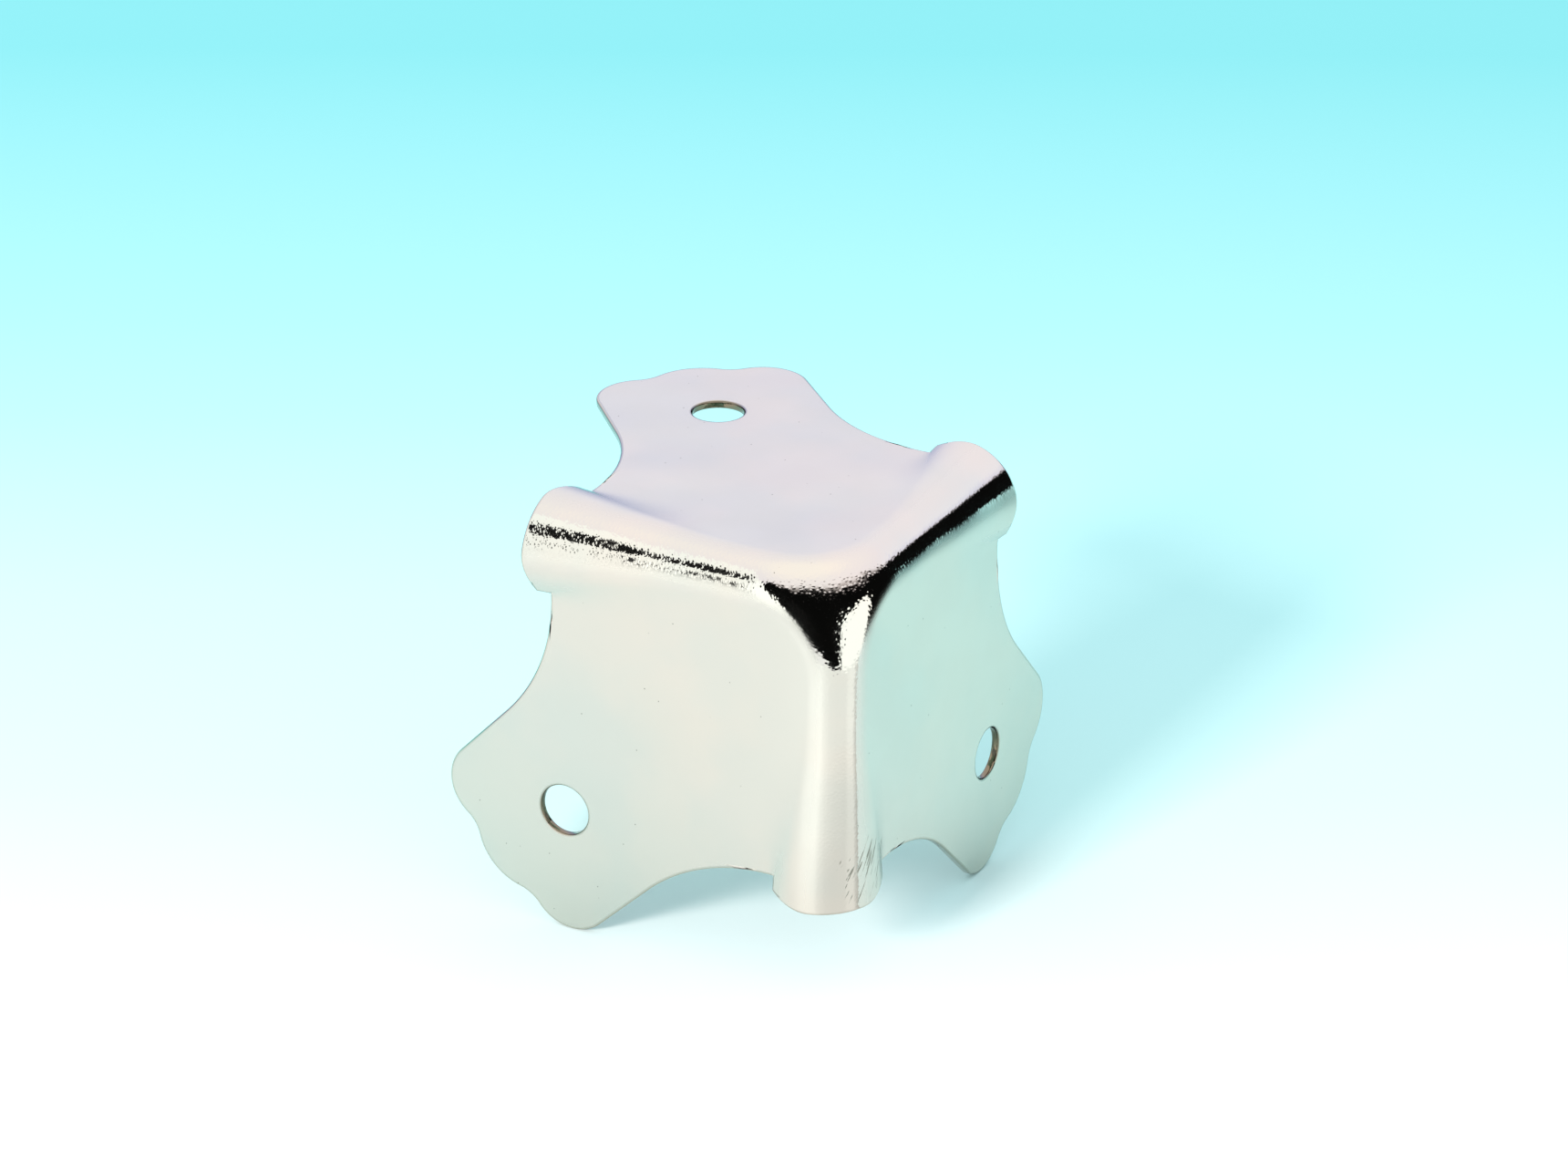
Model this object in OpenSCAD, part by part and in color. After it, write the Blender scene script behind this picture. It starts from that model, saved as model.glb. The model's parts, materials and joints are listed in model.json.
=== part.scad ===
// Flight case corner: one piece of nickel plated sheet steel, pressed over the
// corner of a box. Three flat flanges meet at right angles in three rounded
// ridges and one rounded nose. Each ridge ends in a raised, round ended tongue,
// and each flange ends in a three lobed edge with one fixing hole.
//
// The origin is the corner point of the box that the part covers. The box fills
// -X, +Y and -Z, so the top flange looks to +Z, the front flange to -Y and the
// right flange to +X.

/* [Sheet] */
// Thickness of the steel sheet
sheet_t = 0.8; // [0.5:0.05:1.2]

/* [Folds] */
// Inside radius of the three folds
bend_r = 3.2; // [2:0.1:4]
// Radius of each flat flange where it rounds the nose of the corner
nose_r = 6; // [4:0.1:9]

/* [Fixing holes] */
// Diameter of the hole in each flange
hole_d = 5; // [3:0.1:7]
// Distance of the hole centre from both edges of the box
hole_inset = 28.6; // [25:0.1:31]

/* [Flange outline] */
// Distance from the box corner to the narrow neck, along the ridge
neck_reach = 29.7; // [27:0.1:32]
// Radius of the scoop between a tongue and a tip
scoop_r = 18.3; // [16:0.1:20]
// Distance from the ridge to the start of the scoop
scoop_start = 7.1; // [6:0.1:9]
// Radius of the two outer tips
tip_r = 4.4; // [3.5:0.1:5]
// Distance of a tip's centre along the near ridge
tip_along = 36.7; // [35:0.1:38]
// Distance of a tip's centre away from the near ridge
tip_away = 28.1; // [27:0.1:29]
// Radius of the lobe in the middle of the edge
lobe_r = 5.8; // [5:0.1:7]
// Distance of the lobe's centre from both edges of the box
lobe_inset = 32.4; // [31.5:0.1:33]
// Radius of the shallow dips between the lobe and the tips
dip_r = 3.7; // [3:0.1:6]

/* [Tongues] */
// Distance from the narrow neck to the end of a tongue
tongue_reach = 2.8; // [2.5:0.1:6.3]
// Distance from the ridge to the crease beside a tongue
tongue_w = 6.6; // [5.5:0.1:7]
// Radius of the tongue's two round corners, seen square onto the ridge
tongue_corner_r = 2.8; // [1:0.1:4]
// Height that the rolled tongue stands above the flange
tongue_rise = 0.55; // [0.25:0.05:0.8]
// Distance from the end of the nose to the place where the rolled ridge begins
roll_start = 3.8; // [3.8:0.1:8.8]

/* [Hidden] */
$fn = 96;
// Pieces that are cut or joined run past each other by this much
over = 1;
// Outside radius of the folds
fold_r = bend_r + sheet_t;
// Distance of the nose's centre from the three seats
nose_c = bend_r + nose_r;
// Outside radius of the ball that rounds the nose
nose_ball_r = fold_r + nose_r * sqrt(2);
// Half angle of the cone between the ball and each flange's round edge
nose_cone = 45;
// Reach of the sheet before its outline is cut
blank_reach = max(tip_along + tip_r, lobe_inset + lobe_r) + over;
// Steps along a full circle in the cut outline
outline_fn = 120;
// Distance from the box corner to the end of a tongue
tongue_end = neck_reach + tongue_reach;
// Distance from the box corner to the start of the rolled ridge, and the length
// of its cone that is still sunk in the fold there
roll_from = nose_c + roll_start;
roll_lead = roll_start - sheet_t;
// The rolled ridge at the neck: distance of its axis from the seats, and radius
crease_out = tongue_w + sheet_t;
roll_c_out = crease_out + tongue_rise
    - sqrt(2 * crease_out * tongue_rise + 2 * tongue_rise * tongue_rise);
roll_c = roll_c_out - sheet_t;
roll_r = roll_c_out + tongue_rise;

// Points along an arc, from angle a to angle b
function arc(centre, r, a, b) =
    let (n = max(2, ceil(abs(b - a) * outline_fn / 360)))
    [for (i = [0:n]) centre + r * [cos(a + (b - a) * i / n), sin(a + (b - a) * i / n)]];

// Angle of the direction from p to q
function heading(p, q) = atan2(q[1] - p[1], q[0] - p[0]);

// Centre of a circle of radius r that touches two circles from outside,
// on the right hand side of the way from the first to the second
function nested(p, pr, q, qr, r) =
    let (d = norm(q - p), e = (q - p) / d)
    let (a = (d * d + pow(pr + r, 2) - pow(qr + r, 2)) / (2 * d))
    let (b = sqrt(pow(pr + r, 2) - a * a))
    p + a * e + b * [e[1], -e[0]];

// Half of a flange's edge, from the neck to the middle of the lobe
// The scoop is never larger than the circle that just touches the tip
tip_c = [tip_along, tip_away];
lobe_c = [lobe_inset, lobe_inset];
dip_c = nested(tip_c, tip_r, lobe_c, lobe_r, dip_r);
tip_step = tip_c - [neck_reach, scoop_start];
scoop_room = (tip_step * tip_step - tip_r * tip_r) / (2 * (tip_step[0] + tip_r));
scoop_fit_r = min(scoop_r, scoop_room);
scoop_c = [neck_reach + scoop_fit_r, scoop_start];
scoop_turn = heading(scoop_c, tip_c)
    + acos(min(1, (scoop_fit_r + tip_r) / norm(tip_c - scoop_c)));
tip_turn = heading(tip_c, dip_c);
lobe_turn = heading(lobe_c, dip_c);
half_edge = concat(
    arc(scoop_c, scoop_fit_r, 180, scoop_turn),
    arc(tip_c, tip_r, scoop_turn - 180, tip_turn),
    arc(dip_c, dip_r, tip_turn + 180, lobe_turn + 180),
    arc(lobe_c, lobe_r, lobe_turn, 45)
);
edge_count = len(half_edge);

// Everything outside a flange's edge, on the flange's own plane
module edge_waste() {
    far = blank_reach + over;
    other_half = [for (i = [edge_count - 2:-1:0]) [half_edge[i][1], half_edge[i][0]]];
    polygon(concat(
        [[neck_reach, tongue_w]],
        half_edge,
        other_half,
        [[tongue_w, neck_reach], [tongue_w, far], [far, far], [far, tongue_w]]
    ));
}

// Everything past a tongue's round end, seen square onto the ridge
module tongue_waste() {
    half_w = (tongue_w + sheet_t + tongue_rise) / sqrt(2);
    far = blank_reach + over;
    corner_r = min(tongue_corner_r, tongue_reach);
    side = arc([tongue_end - corner_r, half_w - corner_r], corner_r, 90, 0);
    count = len(side);
    polygon(concat(
        side,
        [for (i = [count - 1:-1:0]) [side[i][0], -side[i][1]]],
        [[far, -half_w], [far, half_w]]
    ));
}

// Copies for the three flanges, ridges or sectors
module each_third() {
    for (i = [0:2])
        rotate(a = 120 * i, v = [1, 1, 1])
            children();
}

// A flat flange with its round edge and a quarter of the fold around the nose
module flange() {
    mirror([0, 0, 1]) {
        translate([nose_c, bend_r, 0])
            cube([blank_reach - nose_c, blank_reach - bend_r, sheet_t]);
        translate([bend_r, nose_c, 0])
            cube([nose_c - bend_r, blank_reach - nose_c, sheet_t]);
    }
    translate([nose_c, nose_c, 0])
        rotate(180)
            rotate_extrude(angle = 90)
                nose_section();
}

// Section of the flange's round edge, turned about the nose's centre
module nose_section() {
    mirror([0, 1])
        square([nose_r, sheet_t]);
    translate([nose_r, bend_r])
        intersection() {
            difference() {
                circle(fold_r);
                circle(bend_r);
            }
            polygon([[0, 0], [0, -2 * fold_r], [2 * fold_r, -2 * fold_r]]);
        }
}

// A quarter round fold between two flanges, along the ridge
module ridge() {
    translate([nose_c, bend_r, bend_r])
        rotate([0, 90, 0])
            rotate([0, 0, -90])
                rotate_extrude(angle = 90)
                    translate([bend_r, 0])
                        square([sheet_t, blank_reach - nose_c]);
}

// The three cornered ball patch at the very nose
module nose_patch() {
    reach = 2 * nose_ball_r;
    translate([nose_c, nose_c, nose_c])
        difference() {
            intersection() {
                difference() {
                    sphere(nose_ball_r);
                    sphere(nose_ball_r - sheet_t);
                }
                translate([-reach, -reach, -reach])
                    cube(reach);
            }
            each_third()
                mirror([0, 0, 1])
                    cylinder(h = reach, r1 = 0, r2 = reach * tan(nose_cone));
        }
}

// The pressed sheet before its tongues are rolled and its edge is cut
module blank() {
    each_third() {
        flange();
        ridge();
    }
    nose_patch();
}

// A cone about the rolled ridge, drawn in from its outside by an inset. It grows
// out of the fold at roll_from and has its full section at the neck.
module roll(inset) {
    from = roll_from - roll_lead;
    run = tongue_end + over - from;
    side_slope = (roll_c - bend_r) / (neck_reach - roll_from);
    r_slope = (roll_r - fold_r) / (neck_reach - roll_from);
    start_c = bend_r - side_slope * roll_lead;
    start_r = fold_r - r_slope * roll_lead - inset;
    lean = atan(side_slope * sqrt(2));
    translate([from, start_c, start_c])
        rotate([45, 0, 0])
            rotate([0, 90, lean])
                cylinder(h = run / cos(lean), r1 = start_r, r2 = start_r + r_slope * run);
}

// The raised skin of the rolled ridge, without what lies inside the sheet
module rolled_skin() {
    difference() {
        roll(0);
        translate([nose_c, bend_r, bend_r])
            rotate([0, 90, 0])
                cylinder(h = blank_reach, r = bend_r);
        translate([nose_c, bend_r, 0])
            cube(blank_reach);
        translate([nose_c, 0, bend_r])
            cube(blank_reach);
    }
}

// Cutter for a flange's edge
module edge_cut() {
    depth = sheet_t + tongue_rise + 2 * over;
    translate([0, 0, over - depth])
        linear_extrude(depth)
            edge_waste();
}

// Cutter for a tongue's end
module tongue_cut() {
    rotate([-45, 0, 0])
        translate([0, 0, -2 * over - fold_r])
            linear_extrude(blank_reach)
                tongue_waste();
}

// A fixing hole
module hole() {
    translate([hole_inset, hole_inset, -sheet_t - over])
        cylinder(h = sheet_t + 2 * over, d = hole_d);
}

// The one sheet, pressed, rolled at its tongues, cut to its outline and drilled
module corner_shell() {
    color("silver")
        rotate([0, 180, 0])
            difference() {
                union() {
                    blank();
                    each_third()
                        rolled_skin();
                }
                each_third() {
                    roll(sheet_t);
                    edge_cut();
                    tongue_cut();
                    hole();
                }
            }
}

corner_shell();
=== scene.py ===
# %% [markdown]
# A flight case corner: one blank of sheet steel, pressed over the corner of a box and nickel plated.
# Three flat flanges meet in three round folds and one round nose. Each fold swells into a rolled
# ridge that ends in a tongue, and each flange ends in a lobed edge with one fixing hole.
# The CAD model is loaded first and fixes every size and place. The cells after it press a smooth
# sheet onto that form, plate it, and set up a small studio around it.

# %% Load the CAD model
import bpy
import json
import math
from mathutils import Matrix, Quaternion, Vector


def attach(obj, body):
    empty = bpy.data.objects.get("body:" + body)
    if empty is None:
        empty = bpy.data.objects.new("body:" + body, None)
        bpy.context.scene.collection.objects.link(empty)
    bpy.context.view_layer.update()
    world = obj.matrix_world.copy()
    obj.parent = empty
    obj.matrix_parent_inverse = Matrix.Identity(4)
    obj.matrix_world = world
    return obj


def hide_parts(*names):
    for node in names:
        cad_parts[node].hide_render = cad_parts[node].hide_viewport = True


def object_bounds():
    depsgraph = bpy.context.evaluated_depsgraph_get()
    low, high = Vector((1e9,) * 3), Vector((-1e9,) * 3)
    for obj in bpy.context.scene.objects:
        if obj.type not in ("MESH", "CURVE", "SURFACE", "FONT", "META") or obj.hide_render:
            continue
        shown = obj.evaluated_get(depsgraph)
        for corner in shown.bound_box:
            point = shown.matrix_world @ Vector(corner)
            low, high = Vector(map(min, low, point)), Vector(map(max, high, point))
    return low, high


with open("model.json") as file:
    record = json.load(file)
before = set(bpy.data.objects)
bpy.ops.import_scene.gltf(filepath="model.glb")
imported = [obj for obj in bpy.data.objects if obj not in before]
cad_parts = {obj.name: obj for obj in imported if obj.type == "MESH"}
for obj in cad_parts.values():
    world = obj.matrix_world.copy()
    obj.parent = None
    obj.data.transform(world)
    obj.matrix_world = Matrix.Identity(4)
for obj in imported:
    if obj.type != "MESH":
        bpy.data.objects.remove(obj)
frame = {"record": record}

cad_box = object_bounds()
MM = 0.001


def in_mm(box):
    """The two corners of a box in millimetres, rounded for printing."""
    return [[round(c / MM, 2) for c in corner] for corner in box]


print("CAD box in mm:", in_mm(cad_box))

# %% [markdown]
# The record says how thick the sheet is and where its holes are. The other sizes are the radii of the folds
# and the arcs of the outline. All are in millimetres, measured in the seat frame: the covered box's corner
# is the origin, x and y run along the top flange's two ridges, and w goes down into the box. Every flange
# is the same, and each is its own mirror image, so one half of the top flange is all that has to be drawn.

# %% Sizes of the sheet
top_hole = next(m for m in frame["record"]["mounts"] if m["name"] == "top_hole")
sheet_t = top_hole["dims"]["length_mm"]
hole_r = top_hole["dims"]["r_mm"]
hole_inset = top_hole["pos_m"][1] / MM
# The folds and the nose
bend_r, nose_r = 3.2, 6.0
# The edge of a flange
neck_reach = 29.7
scoop_r, scoop_start = 18.3, 7.1
tip_r, tip_along, tip_away = 4.4, 36.7, 28.1
lobe_r, lobe_inset, dip_r = 5.8, 32.4, 3.7
# The rolled ridges and their tongues
roll_start = 3.8
tongue_reach, tongue_w, tongue_corner_r, tongue_rise = 2.8, 6.6, 2.8, 0.55
# What follows from these
fold_r = bend_r + sheet_t
nose_c = bend_r + nose_r
nose_ball_r = fold_r + nose_r * math.sqrt(2)
tongue_end = neck_reach + tongue_reach
roll_from = nose_c + roll_start
crease_out = tongue_w + sheet_t
roll_c = tongue_w + tongue_rise - math.sqrt(2 * crease_out * tongue_rise + 2 * tongue_rise ** 2)
roll_r = roll_c + sheet_t + tongue_rise
print(f"sheet {sheet_t} mm, holes {2 * hole_r} mm at {hole_inset:.1f} mm, nose ball {nose_ball_r:.2f} mm")

# %% [markdown]
# A fold is a quarter circle, so its section is easy to give by an angle. Past roll_from the circle
# grows and moves outwards, and stands proud of the flange. A press can't make a knife-sharp crease there,
# so a concave fillet leads from the rolled circle back to the flat. At the neck the crease is tight, and
# towards the nose it widens and fades out. The growth eases in, because a sudden start would show as
# a line in the mirror finish.

# %% Section of a ridge
tight_crease_r, wide_crease_r = 1.3, 60.0
crease_fade = 1.2
roll_ease = 0.35
flat_w = -sheet_t


def roll_share(u):
    """How far the roll has grown at u along the ridge: 0 at its start and 1 at the neck."""
    x = max(0.0, (u - roll_from) / (neck_reach - roll_from))
    if x < roll_ease:
        return x * x / (2 * roll_ease) / (1 - roll_ease / 2)
    return (x - roll_ease / 2) / (1 - roll_ease / 2)


def crease_r(u):
    """Radius of the crease's fillet at u along the ridge."""
    x = min(1.0, max(0.0, (neck_reach - u) / (neck_reach - roll_from)))
    return tight_crease_r + (wide_crease_r - tight_crease_r) * x ** crease_fade


def section(u):
    """Centre and radius of the ridge's circle at u, and where its fillet starts and ends."""
    share = roll_share(u)
    c = bend_r + share * (roll_c - bend_r)
    r = fold_r + share * (roll_r - fold_r)
    fillet = crease_r(u)
    away = math.sqrt(max(0.0, (r + fillet) ** 2 - (c + sheet_t + fillet) ** 2))
    return c, r, c + r * away / (r + fillet), c + away


def surface_w(u, v):
    """Depth of the sheet's outer face at u along the ridge and v away from it, past the roll's top."""
    c, r, fillet_from, fillet_to = section(u)
    if v < fillet_from:
        return c - math.sqrt(r * r - (v - c) ** 2)
    if v < fillet_to:
        fillet = crease_r(u)
        return flat_w - fillet + math.sqrt(fillet ** 2 - (v - fillet_to) ** 2)
    return flat_w


for u in (roll_from, (roll_from + neck_reach) / 2, neck_reach):
    c, r, start, end = section(u)
    proud = r - c - sheet_t
    print(f"ridge at {u:.1f} mm: circle r {r:.2f}, {proud:.2f} proud, crease {start:.2f} to {end:.2f}")

# %% [markdown]
# The edge of a flange is a chain of arcs that touch each other: scoop, tip, dip and lobe. Only the
# centres and radii are sizes. Where the arcs meet follows from them, so the chain stays smooth.

# %% Edge of half a flange
edge_step = 0.4


def arc(centre, r, start, end):
    """Points along an arc, from one angle to the other, about edge_step apart."""
    n = max(2, math.ceil(abs(end - start) * r / edge_step))
    angles = [start + (end - start) * i / n for i in range(n + 1)]
    return [Vector((centre.x + r * math.cos(a), centre.y + r * math.sin(a))) for a in angles]


def heading(p, q):
    """Angle of the way from p to q."""
    return math.atan2(q.y - p.y, q.x - p.x)


def straight(p, q):
    """Points between p and q, without the two ends."""
    n = max(1, math.ceil((q - p).length / edge_step))
    return [p.lerp(q, i / n) for i in range(1, n)]


scoop_c = Vector((neck_reach + scoop_r, scoop_start))
tip_c = Vector((tip_along, tip_away))
lobe_c = Vector((lobe_inset, lobe_inset))
to_lobe = (lobe_c - tip_c).normalized()
apart = (lobe_c - tip_c).length
dip_along = (apart ** 2 + (tip_r + dip_r) ** 2 - (lobe_r + dip_r) ** 2) / (2 * apart)
dip_aside = math.sqrt((tip_r + dip_r) ** 2 - dip_along ** 2)
dip_c = tip_c + dip_along * to_lobe + dip_aside * Vector((to_lobe.y, -to_lobe.x))
scoop_turn = heading(scoop_c, tip_c) + math.acos((scoop_r + tip_r) / (tip_c - scoop_c).length)


def scoop_u(v):
    """Where the edge lies along the ridge, between the neck and the scoop's lower part."""
    rise = max(0.0, v - scoop_start)
    return scoop_c.x - math.sqrt(scoop_r ** 2 - rise ** 2)


def half_edge(scoop_from):
    """The edge from the lobe's middle to the scoop, which ends at scoop_from away from the ridge."""
    lobe = arc(lobe_c, lobe_r, math.pi / 4, heading(lobe_c, dip_c))
    dip = arc(dip_c, dip_r, heading(dip_c, lobe_c), heading(dip_c, tip_c))
    tip = arc(tip_c, tip_r, heading(tip_c, dip_c), scoop_turn - math.pi)
    scoop_end = math.pi - math.asin((scoop_from - scoop_start) / scoop_r)
    scoop = arc(scoop_c, scoop_r, scoop_turn, scoop_end)
    return lobe[:-1] + dip[:-1] + tip + straight(tip[-1], scoop[0]) + scoop


print("half edge:", len(half_edge(scoop_start)), "points")

# %% [markdown]
# Each patch of the sheet starts as a grid primitive, and every point of the grid is pressed to its place by
# a formula, as a tool presses a flat blank. A grid keeps its squares in rows, so the mirror finish gets
# clean reflections. On the ridge, rows run along it: some around the rolled circle, and then some across
# the crease to the flat. The second of these is where the side of the tongue will be.

# %% Press a grid onto the ridge
arc_rows, ridge_columns = 14, 60
zone_away, zone_bend = 9.5, 0.44


def zone_v(u):
    """How far from the ridge the grid reaches at u. It starts at the nose and widens quickly."""
    x = (u - nose_c) / (scoop_u(zone_away) - nose_c)
    return bend_r + (zone_away - bend_r) * x * (1 + zone_bend) / (x + zone_bend)


neck_fillet = section(neck_reach)[2]
neck_zone = zone_v(neck_reach)
tongue_share = (tongue_w - neck_fillet) / (neck_zone - neck_fillet)
strip_shares = [tongue_share / 2, tongue_share, 0.12, 0.19, 0.28, 0.4, 0.58, 0.78, 1.0]
last_row = arc_rows + len(strip_shares)


def to_scene(x, y, w):
    """A place in the seat frame, in millimetres, as a place in the scene."""
    return Vector((-x, y, -w)) * MM


def pressed_grid(name, columns, rows, place):
    """A grid primitive whose points go to place(column, row)."""
    bpy.ops.object.select_all(action="DESELECT")
    bpy.ops.mesh.primitive_grid_add(x_subdivisions=columns, y_subdivisions=rows, size=1)
    patch = bpy.context.object
    patch.name = name
    for vertex in patch.data.vertices:
        column = round((vertex.co.x + 0.5) * columns)
        row = round((vertex.co.y + 0.5) * rows)
        vertex.co = to_scene(*place(column, row))
    print(f"{name}: {columns} by {rows} squares")
    return patch


def around_ridge(u, last_v, row):
    """A point of the rolled circle, from the middle of the ridge to last_v away from it."""
    c, r = section(u)[:2]
    last = math.asin((last_v - c) / r)
    angle = -math.pi / 4 + (last + math.pi / 4) * row / arc_rows
    return u, c + r * math.sin(angle), c - r * math.cos(angle)


def ridge_point(column, row):
    strip = strip_shares[row - arc_rows - 1] if row > arc_rows else 0
    last_u = scoop_u(neck_fillet + strip * (neck_zone - neck_fillet))
    u = nose_c + (last_u - nose_c) * column / ridge_columns
    fillet_from = section(u)[2]
    if row <= arc_rows:
        return around_ridge(u, fillet_from, row)
    v = fillet_from + strip * (zone_v(u) - fillet_from)
    return u, v, surface_w(u, v)


ridge = pressed_grid("ridge", ridge_columns, last_row, ridge_point)

# %% [markdown]
# The tongue carries the ridge on past the neck and ends in two round corners. It has the ridge's rows up to
# its side, so both grids share their points at the neck. Each row runs as far as the corner's arc
# allows, seen square onto the ridge, which is how a punch would trim it.

# %% Press a grid onto the tongue
tongue_row, tongue_columns = arc_rows + 2, 9


def tongue_limit(s):
    """How far the tongue reaches at s away from the ridge's middle, seen square onto the ridge."""
    corner_from = (tongue_w + sheet_t + tongue_rise) / math.sqrt(2) - tongue_corner_r
    past = max(0.0, s - corner_from)
    return tongue_end - tongue_corner_r + math.sqrt(tongue_corner_r ** 2 - past ** 2)


def tongue_at(u, row):
    """A point of the tongue at u along the ridge."""
    if row <= arc_rows:
        return around_ridge(u, neck_fillet, row)
    v = neck_fillet + (tongue_w - neck_fillet) * strip_shares[row - arc_rows - 1] / tongue_share
    return u, v, surface_w(u, v)


def tongue_point(column, row):
    neck = tongue_at(neck_reach, row)
    limit = tongue_limit((neck[1] - neck[2]) / math.sqrt(2))
    return tongue_at(neck_reach + (limit - neck_reach) * column / tongue_columns, row)


tongue = pressed_grid("tongue", tongue_columns, tongue_row, tongue_point)

# %% [markdown]
# The nose is a ball whose three corners run into the ridges. Beside it each flat is rounded by a ring,
# like a piece of a doughnut. Ball and ring touch along a cone of 45 degrees, so one angle gives the rows of
# the ring, and the ball's rows run from there to the very tip. Each row of the ball has one square less
# than the last, because a fan of thin triangles at the tip would show in the polish.

# %% Press grids onto the nose
ring_columns = 12


def ring_point(column, row):
    turn = math.pi / 4 * column / ring_columns
    tilt = math.pi / 4 * (1 - row / arc_rows)
    reach = nose_r + fold_r * math.sin(tilt)
    w = bend_r - fold_r * math.cos(tilt)
    return nose_c - reach * math.sin(turn), nose_c - reach * math.cos(turn), w


def ball_point(column, row):
    centre = Vector((nose_c, nose_c, nose_c))
    tip = Vector((-1, -1, -1)).normalized()
    squares = ring_columns - row
    if squares == 0:
        return centre + nose_ball_r * tip
    start = Vector(ring_point(ring_columns * min(column, squares) / squares, 0)) - centre
    return centre + nose_ball_r * start.normalized().slerp(tip, row / ring_columns)


ring = pressed_grid("nose_ring", ring_columns, arc_rows, ring_point)
ball = pressed_grid("nose_ball", ring_columns, ring_columns, ball_point)

# %% [markdown]
# The flat of the flange lies between its hole and everything around it: the cut edge, the ridge and the
# nose. Rays from the hole's rim to that border make a grid that follows both. The first and the last square
# of each ray are kept narrow, because the shear leaves a small round at the rim and at the edge.

# %% Press a grid onto the flat
edge_gap, rim_gap = 0.32, 0.32
most_gap_share, least_slant = 0.3, 0.05
ray_rows = 11
hole_c = Vector((hole_inset, hole_inset))

ridge_side = [Vector(ridge_point(column, last_row)[:2]) for column in range(ridge_columns, -1, -1)]
nose_side = [Vector(ring_point(column, arc_rows)[:2]) for column in range(ring_columns + 1)]
cut_side = half_edge(ridge_side[0].y)
border = cut_side[:-1] + ridge_side + nose_side[1:]


def flat_point(column, row):
    end = border[column]
    ray = (end - hole_c).normalized()
    near = border[max(0, column - 1)]
    far = border[min(len(border) - 1, column + 1)]
    slant = abs(ray.cross((far - near).normalized()))
    start = hole_c + ray * hole_r
    span = (end - start).length
    first = rim_gap / span
    last = 1 - min(most_gap_share, edge_gap / max(slant, least_slant) / span)
    shares = [0] + [first + (last - first) * i / (ray_rows - 2) for i in range(ray_rows - 1)] + [1]
    point = start.lerp(end, shares[row])
    return point.x, point.y, flat_w


flat = pressed_grid("flat", len(border) - 1, ray_rows, flat_point)

# %% [markdown]
# The patches are joined into one mesh and their common points merged. They were made to share the points
# along their seams, so a tiny merging distance is enough, and no gap or step is left.

# %% Join the sector
merge_gap = 0.002 * MM

bpy.ops.object.select_all(action="DESELECT")
for patch in (ridge, tongue, ring, ball, flat):
    patch.select_set(True)
bpy.context.view_layer.objects.active = flat
bpy.ops.object.join()
shell = bpy.context.object
shell.name = "pressed_shell"
bpy.ops.object.transform_apply(location=True, rotation=True, scale=True)

bpy.ops.object.mode_set(mode="EDIT")
bpy.ops.mesh.select_all(action="SELECT")
bpy.ops.mesh.remove_doubles(threshold=merge_gap)
bpy.ops.mesh.dissolve_degenerate(threshold=merge_gap)
bpy.ops.object.mode_set(mode="OBJECT")
print("one sixth of the sheet:", len(shell.data.polygons), "faces")

# %% [markdown]
# The Mirror modifier makes the other half of the flange, about an empty that stands on the diagonal, and the
# Array modifier makes the other two flanges, about an empty that is turned by a third of a turn around
# the nose. Both merge as they go. Copies made this way meet exactly, which hand-made ones wouldn't.

# %% Repeat the sector
flange_count = 3
nose_axis = Vector((1, -1, 1)).normalized()

bpy.ops.object.empty_add(rotation=(0, 0, math.pi / 4))
diagonal = bpy.context.object
bpy.ops.object.empty_add()
third = bpy.context.object
third.rotation_mode = "QUATERNION"
third.rotation_quaternion = Quaternion(nose_axis, math.tau / flange_count)

mirror = shell.modifiers.new("other half", "MIRROR")
mirror.mirror_object = diagonal
mirror.merge_threshold = merge_gap
thirds = shell.modifiers.new("three flanges", "ARRAY")
thirds.count = flange_count
thirds.use_relative_offset = False
thirds.use_object_offset = True
thirds.offset_object = third
thirds.use_merge_vertices = True
thirds.use_merge_vertices_cap = True
thirds.merge_threshold = merge_gap


def apply_modifiers(piece):
    bpy.ops.object.select_all(action="DESELECT")
    piece.select_set(True)
    bpy.context.view_layer.objects.active = piece
    for modifier in list(piece.modifiers):
        bpy.ops.object.modifier_apply(modifier=modifier.name)


def open_edges(piece):
    """How many edges have only one face."""
    uses = {}
    for polygon in piece.data.polygons:
        for key in polygon.edge_keys:
            uses[key] = uses.get(key, 0) + 1
    return sum(1 for count in uses.values() if count == 1)


apply_modifiers(shell)
bpy.data.objects.remove(diagonal)
bpy.data.objects.remove(third)
print("one sheet:", len(shell.data.polygons), "faces,", open_edges(shell), "edges along its border")

# %% [markdown]
# A mirrored half is inside out, so all faces are turned to one side before the sheet gets its thickness.
# Which side that is can't be foreseen on an open sheet. The outer side is the one that looks along the nose,
# summed over all faces, so the faces are flipped if that sum is negative.

# %% Turn the faces outwards
bpy.ops.object.mode_set(mode="EDIT")
bpy.ops.mesh.select_all(action="SELECT")
bpy.ops.mesh.remove_doubles(threshold=merge_gap)
bpy.ops.mesh.normals_make_consistent(inside=False)
bpy.ops.object.mode_set(mode="OBJECT")
outward = sum(polygon.normal.dot(nose_axis) * polygon.area for polygon in shell.data.polygons)
if outward < 0:
    bpy.ops.object.mode_set(mode="EDIT")
    bpy.ops.mesh.select_all(action="SELECT")
    bpy.ops.mesh.flip_normals()
    bpy.ops.object.mode_set(mode="OBJECT")
print("the faces had to be flipped:", outward < 0)

# %% [markdown]
# Solidify adds the inner face at one sheet's distance, and Bevel rounds the sheared edges and the rims of
# the holes, where a real blank has a small roll-over. Only the open border gets a bevel weight, so the folds
# stay as they were pressed. Solidify also weights the rim's points in a vertex group, for the finish.

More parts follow.
